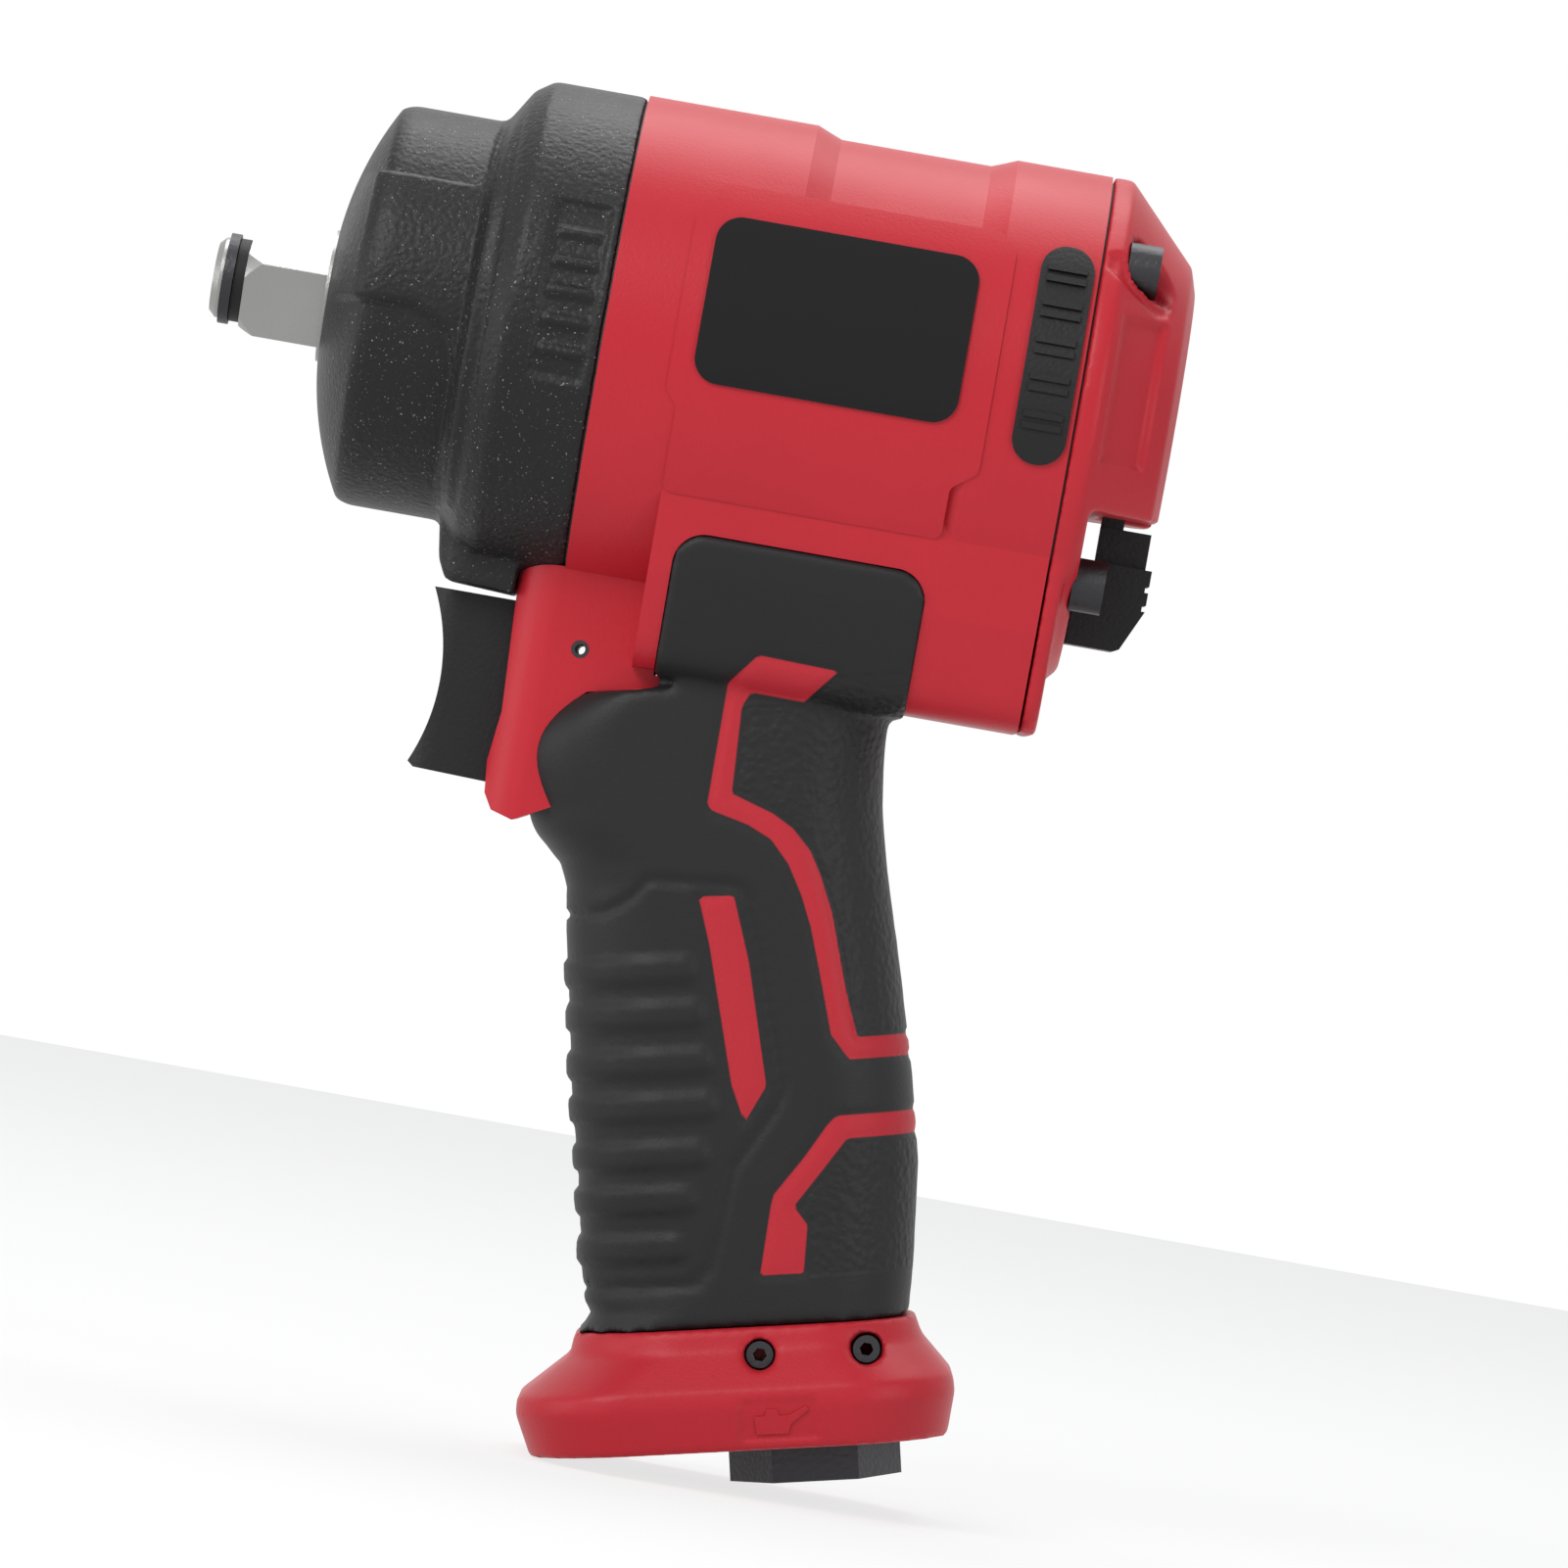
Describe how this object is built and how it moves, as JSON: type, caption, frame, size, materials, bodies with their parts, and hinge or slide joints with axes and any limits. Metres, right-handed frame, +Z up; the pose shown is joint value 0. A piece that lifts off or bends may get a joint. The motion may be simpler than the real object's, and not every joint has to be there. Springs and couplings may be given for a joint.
{
  "type": "pneumatic impact wrench",
  "caption": "Compact pistol-grip air impact wrench with a square drive, side-swinging reverse lever, sliding trigger and hexagonal air inlet.",
  "frame": {"origin": "on the drive axis at the root of the square, where a socket stops", "axes": "X along the drive axis with the nose towards -X, Y across, Z up"},
  "size_m": [0.154, 0.0822, 0.2147],
  "materials": {
    "black_case": "pebbled black powder coat",
    "red_shell": "matte red moulded plastic",
    "grip_rubber": "satin black rubber",
    "trim_black": "fine matte black plastic",
    "label_gloss": "glossy black plate",
    "anvil_steel": "satin grey steel",
    "dark_steel": "blackened steel",
    "bright_steel": "ground steel",
    "bronze": "sintered bronze",
    "cast_alloy": "machined alloy",
    "black_rubber": "soft rubber",
    "vane_resin": "brown laminate",
    "gasket_sheet": "gasket sheet",
    "felt": "grey felt"
  },
  "bodies": {
    "root": {"hammer_case": "black_case", "anvil_bushing": "bronze", "cylinder": "bright_steel", "front_end_plate": "cast_alloy", "rear_end_plate": "cast_alloy", "front_bearing": "bright_steel", "rear_bearing": "bright_steel", "motor_housing": "red_shell", "grip_overmold": "grip_rubber", "front_gasket": "gasket_sheet", "rear_gasket": "gasket_sheet", "rear_cover": "red_shell", "through_bolts": "dark_steel", "reverse_bushing": "bronze", "trigger_pin": "dark_steel", "throttle_bushing": "bronze", "throttle_spring": "bright_steel", "exhaust_deflector": "red_shell", "muffler_felt": "felt", "deflector_screws": "dark_steel", "inlet_bushing": "dark_steel", "label_plates": "label_gloss", "side_strips": "trim_black"},
    "anvil_body": {"anvil": "anvil_steel", "socket_ring": "dark_steel", "ring_cushion": "black_rubber"},
    "rotor_body": {"rotor": "bright_steel", "vanes": "vane_resin", "hammer_frame": "bright_steel", "hammer_pins": "bright_steel", "front_hammer": "bright_steel", "rear_hammer": "bright_steel"},
    "trigger_body": {"trigger": "trim_black", "trigger_rod": "bright_steel"},
    "throttle_body": {"throttle_valve": "bronze"},
    "reverse_body": {"reverse_lever": "trim_black", "reverse_valve": "trim_black"}
  },
  "joints": [
    {"name": "anvil_spin", "type": "hinge", "parent": "root", "child": "anvil_body", "pos_m": [0, 0, 0], "axis": [-1, 0, 0], "continuous": true},
    {"name": "rotor_spin", "type": "hinge", "parent": "root", "child": "rotor_body", "pos_m": [0, 0, 0], "axis": [-1, 0, 0], "continuous": true},
    {"name": "trigger_pull", "type": "slide", "parent": "root", "child": "trigger_body", "axis": [1, 0, 0], "range_m": [0, 0.006], "stiffness_N_per_m": 600},
    {"name": "throttle_slide", "type": "slide", "parent": "root", "child": "throttle_body", "axis": [1, 0, 0], "range_m": [0, 0.006], "deforming": ["throttle_spring"]},
    {"name": "reverse_swing", "type": "hinge", "parent": "root", "child": "reverse_body", "pos_m": [0.127, 0, 0], "axis": [1, 0, 0], "range_deg": [-22, 22]}
  ],
  "couplings": [
    {"joint": "throttle_slide", "follows": "trigger_pull", "ratio": 1}
  ]
}
